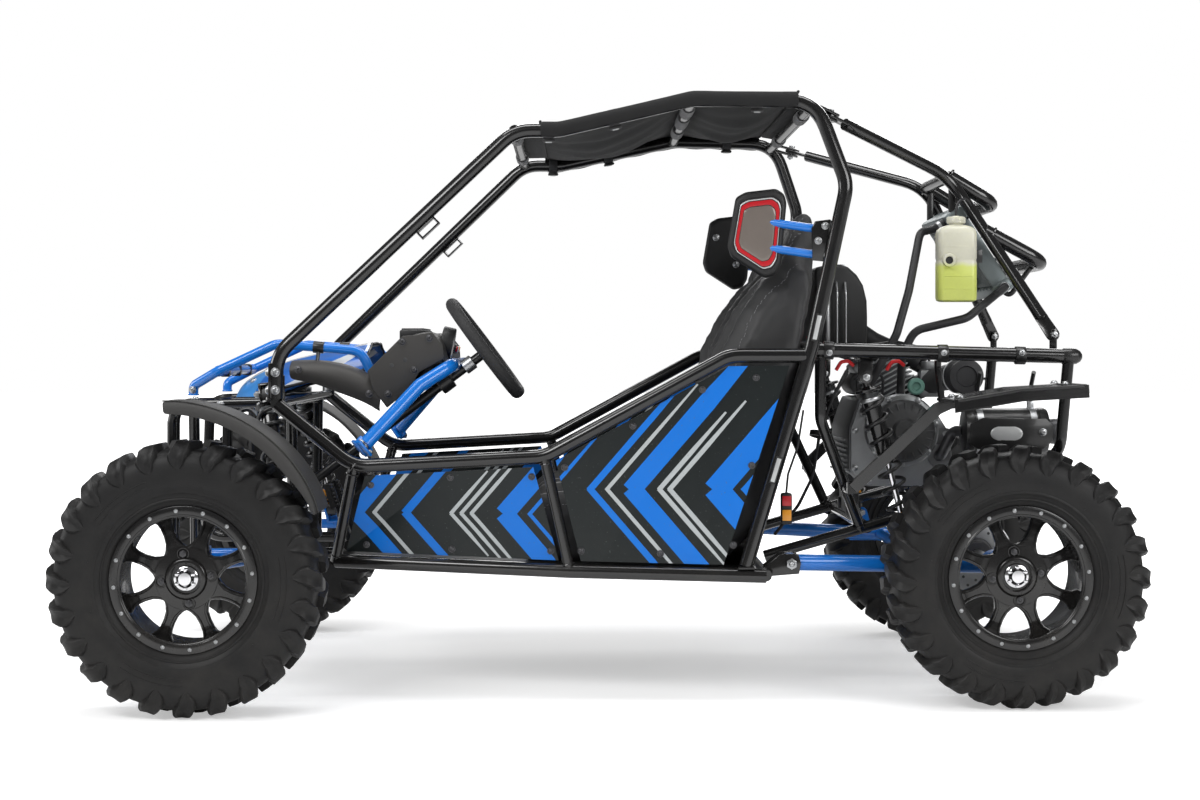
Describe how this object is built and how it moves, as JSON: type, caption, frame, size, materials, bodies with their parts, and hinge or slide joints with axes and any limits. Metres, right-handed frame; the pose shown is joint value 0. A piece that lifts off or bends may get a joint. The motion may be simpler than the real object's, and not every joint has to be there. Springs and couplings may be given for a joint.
{
  "type": "two-seat off-road go kart",
  "caption": "Off-road go kart with a bent-tube frame, roll cage, canvas roof, bucket seats, sprung arms and swing arm, knobbly tyres and a rear engine.",
  "frame": {"origin": "on the ground, at the middle of the overall length and width", "axes": "front to -X, rear to +X, driver's left side to -Y, up +Z"},
  "size_m": [2.2812, 1.44, 1.3099],
  "materials": {
    "frame_black": "gloss black powder coat",
    "frame_blue": "gloss bright blue powder coat",
    "panel": "satin dark panel with a printed design",
    "floor": "satin black sheet",
    "cowl": "matt dark grey moulding",
    "canvas": "matt black canvas",
    "seat_cover": "dark grey leatherette",
    "tyre": "matt black rubber",
    "rim": "satin black",
    "shock": "gloss black",
    "rod": "polished",
    "spring": "gloss black",
    "steel": "zinc plated",
    "engine": "cast, with black covers",
    "muffler": "black with a light end plate",
    "radiator": "finned",
    "bottle": "translucent cream",
    "air_box": "matt black",
    "hose": "matt",
    "grip": "matt foam grip",
    "pedal": "black",
    "guard": "black pad"
  },
  "bodies": {
    "chassis": {"lower_frame": "frame_black", "roll_cage": "frame_black", "rear_frame": "frame_black", "rear_brace": "frame_black", "brush_guard": "frame_blue", "dash_hoop": "frame_blue", "left_front_panel": "panel", "left_rear_panel": "panel", "right_front_panel": "panel", "right_rear_panel": "panel", "floor_pan": "floor", "nose_cowl": "cowl", "dash_cowl": "cowl", "canopy": "canvas", "rear_left_fender": "frame_black", "rear_right_fender": "frame_black", "left_seat": "seat_cover", "right_seat": "seat_cover", "left_shoulder_guard": "guard", "right_shoulder_guard": "guard", "engine": "engine", "muffler": "muffler", "radiator": "radiator", "coolant_bottle": "bottle", "air_box": "air_box", "upper_hose": "hose"},
    "steering_wheel": {"steering_wheel": "grip"},
    "steering_rack": {"steering_rack": "steel"},
    "front_left_arm": {"front_left_arm": "frame_blue"},
    "left_tie_rod": {"left_tie_rod": "steel"},
    "left_knuckle": {"left_knuckle": "frame_black", "front_left_fender": "cowl"},
    "front_left_wheel": {"front_left_tyre": "tyre", "front_left_rim": "rim"},
    "front_right_arm": {"front_right_arm": "frame_blue"},
    "right_tie_rod": {"right_tie_rod": "steel"},
    "right_knuckle": {"right_knuckle": "frame_black", "front_right_fender": "cowl"},
    "front_right_wheel": {"front_right_tyre": "tyre", "front_right_rim": "rim"},
    "swing_arm": {"swing_arm": "frame_blue"},
    "rear_axle": {"rear_axle": "steel", "rear_left_tyre": "tyre", "rear_left_rim": "rim", "rear_right_tyre": "tyre", "rear_right_rim": "rim"},
    "front_left_shock": {"front_left_shock_body": "shock", "front_left_spring": "spring"},
    "front_left_shock_rod": {"front_left_shock_rod": "rod"},
    "front_right_shock": {"front_right_shock_body": "shock", "front_right_spring": "spring"},
    "front_right_shock_rod": {"front_right_shock_rod": "rod"},
    "rear_left_shock": {"rear_left_shock_body": "shock", "rear_left_spring": "spring"},
    "rear_left_shock_rod": {"rear_left_shock_rod": "rod"},
    "rear_right_shock": {"rear_right_shock_body": "shock", "rear_right_spring": "spring"},
    "rear_right_shock_rod": {"rear_right_shock_rod": "rod"},
    "throttle_pedal": {"throttle_pedal": "pedal"},
    "brake_pedal": {"brake_pedal": "pedal"}
  },
  "joints": [
    {"name": "steering_wheel_turn", "type": "hinge", "parent": "chassis", "child": "steering_wheel", "pos_m": [-0.262, -0.23, 0.748], "axis": [0.8005, 0, 0.5994], "range_deg": [-110, 110]},
    {"name": "rack_slide", "type": "slide", "parent": "chassis", "child": "steering_rack", "axis": [0, 1, 0], "range_m": [-0.03746, 0.03746]},
    {"name": "front_left_arm_hinge", "type": "hinge", "parent": "chassis", "child": "front_left_arm", "pos_m": [-0.86, -0.232, 0.288], "axis": [-1, 0, 0], "range_deg": [-8, 7], "stiffness_Nm_per_rad": 5200, "springref_deg": -3.15},
    {"name": "left_tie_rod_slide", "type": "slide", "parent": "front_left_arm", "child": "left_tie_rod", "axis": [0, 1, 0], "range_m": [-0.03746, 0.03746]},
    {"name": "left_knuckle_steer", "type": "hinge", "parent": "front_left_arm", "child": "left_knuckle", "pos_m": [-0.85803, -0.54, 0.28256], "axis": [0, 0, 1], "range_deg": [-22.4, 22.4]},
    {"name": "front_left_wheel_spin", "type": "hinge", "parent": "left_knuckle", "child": "front_left_wheel", "pos_m": [-0.85803, -0.63, 0.28256], "axis": [0, 1, 0], "continuous": true},
    {"name": "front_right_arm_hinge", "type": "hinge", "parent": "chassis", "child": "front_right_arm", "pos_m": [-0.86, 0.232, 0.288], "axis": [1, 0, 0], "range_deg": [-8, 7], "stiffness_Nm_per_rad": 5200, "springref_deg": -3.15},
    {"name": "right_tie_rod_slide", "type": "slide", "parent": "front_right_arm", "child": "right_tie_rod", "axis": [0, 1, 0], "range_m": [-0.03746, 0.03746]},
    {"name": "right_knuckle_steer", "type": "hinge", "parent": "front_right_arm", "child": "right_knuckle", "pos_m": [-0.85803, 0.54, 0.28256], "axis": [0, 0, 1], "range_deg": [-22.4, 22.4]},
    {"name": "front_right_wheel_spin", "type": "hinge", "parent": "right_knuckle", "child": "front_right_wheel", "pos_m": [-0.85803, 0.63, 0.28256], "axis": [0, 1, 0], "continuous": true},
    {"name": "swing_arm_hinge", "type": "hinge", "parent": "chassis", "child": "swing_arm", "pos_m": [0.402, 0, 0.291], "axis": [0, -1, 0], "range_deg": [-5, 6], "stiffness_Nm_per_rad": 16000, "springref_deg": -3.32},
    {"name": "rear_axle_spin", "type": "hinge", "parent": "swing_arm", "child": "rear_axle", "pos_m": [0.86597, 0, 0.27463], "axis": [0, 1, 0], "continuous": true},
    {"name": "front_left_shock_swing", "type": "hinge", "parent": "chassis", "child": "front_left_shock", "pos_m": [-0.752, -0.276, 0.65], "axis": [-0.7707, -0.6174, 0.1575], "range_deg": [-1.44, 1.29]},
    {"name": "front_left_shock_slide", "type": "slide", "parent": "front_left_shock", "child": "front_left_shock_rod", "axis": [0.1648, -0.432, -0.8867], "range_m": [-0.02507, 0.02848], "deforming": ["front_left_spring"]},
    {"name": "front_right_shock_swing", "type": "hinge", "parent": "chassis", "child": "front_right_shock", "pos_m": [-0.752, 0.276, 0.65], "axis": [0.7707, -0.6174, -0.1575], "range_deg": [-1.44, 1.29]},
    {"name": "front_right_shock_slide", "type": "slide", "parent": "front_right_shock", "child": "front_right_shock_rod", "axis": [0.1648, 0.432, -0.8867], "range_m": [-0.02507, 0.02848], "deforming": ["front_right_spring"]},
    {"name": "rear_left_shock_swing", "type": "hinge", "parent": "chassis", "child": "rear_left_shock", "pos_m": [0.574, -0.364, 0.69], "axis": [0, -1, 0], "range_deg": [-0.59, 0.66]},
    {"name": "rear_left_shock_slide", "type": "slide", "parent": "rear_left_shock", "child": "rear_left_shock_rod", "axis": [0.2566, 0, -0.9665], "range_m": [-0.02933, 0.02464], "deforming": ["rear_left_spring"]},
    {"name": "rear_right_shock_swing", "type": "hinge", "parent": "chassis", "child": "rear_right_shock", "pos_m": [0.574, 0.364, 0.69], "axis": [0, -1, 0], "range_deg": [-0.59, 0.66]},
    {"name": "rear_right_shock_slide", "type": "slide", "parent": "rear_right_shock", "child": "rear_right_shock_rod", "axis": [0.2566, 0, -0.9665], "range_m": [-0.02933, 0.02464], "deforming": ["rear_right_spring"]},
    {"name": "throttle_pedal_press", "type": "hinge", "parent": "chassis", "child": "throttle_pedal", "pos_m": [-0.565, -0.172, 0.31501], "axis": [0, -1, 0], "range_deg": [0, 14], "stiffness_Nm_per_rad": 18, "springref_deg": -6.88},
    {"name": "brake_pedal_press", "type": "hinge", "parent": "chassis", "child": "brake_pedal", "pos_m": [-0.565, -0.292, 0.31501], "axis": [0, -1, 0], "range_deg": [0, 14], "stiffness_Nm_per_rad": 18, "springref_deg": -6.88}
  ],
  "couplings": [
    {"joint": "rack_slide", "follows": "steering_wheel_turn", "m_per_rad": 0.0192},
    {"joint": "left_tie_rod_slide", "follows": "steering_wheel_turn", "m_per_rad": 0.0192},
    {"joint": "left_knuckle_steer", "follows": "steering_wheel_turn", "ratio": 0.2},
    {"joint": "right_tie_rod_slide", "follows": "steering_wheel_turn", "m_per_rad": 0.0192},
    {"joint": "right_knuckle_steer", "follows": "steering_wheel_turn", "ratio": 0.2},
    {"joint": "front_left_shock_swing", "follows": "front_left_arm_hinge", "ratio": 0.14872},
    {"joint": "front_left_shock_slide", "follows": "front_left_arm_hinge", "m_per_rad": -0.19539},
    {"joint": "front_right_shock_swing", "follows": "front_right_arm_hinge", "ratio": 0.14872},
    {"joint": "front_right_shock_slide", "follows": "front_right_arm_hinge", "m_per_rad": -0.19539},
    {"joint": "rear_left_shock_swing", "follows": "swing_arm_hinge", "ratio": 0.06764},
    {"joint": "rear_left_shock_slide", "follows": "swing_arm_hinge", "m_per_rad": -0.26864},
    {"joint": "rear_right_shock_swing", "follows": "swing_arm_hinge", "ratio": 0.06764},
    {"joint": "rear_right_shock_slide", "follows": "swing_arm_hinge", "m_per_rad": -0.26864}
  ]
}
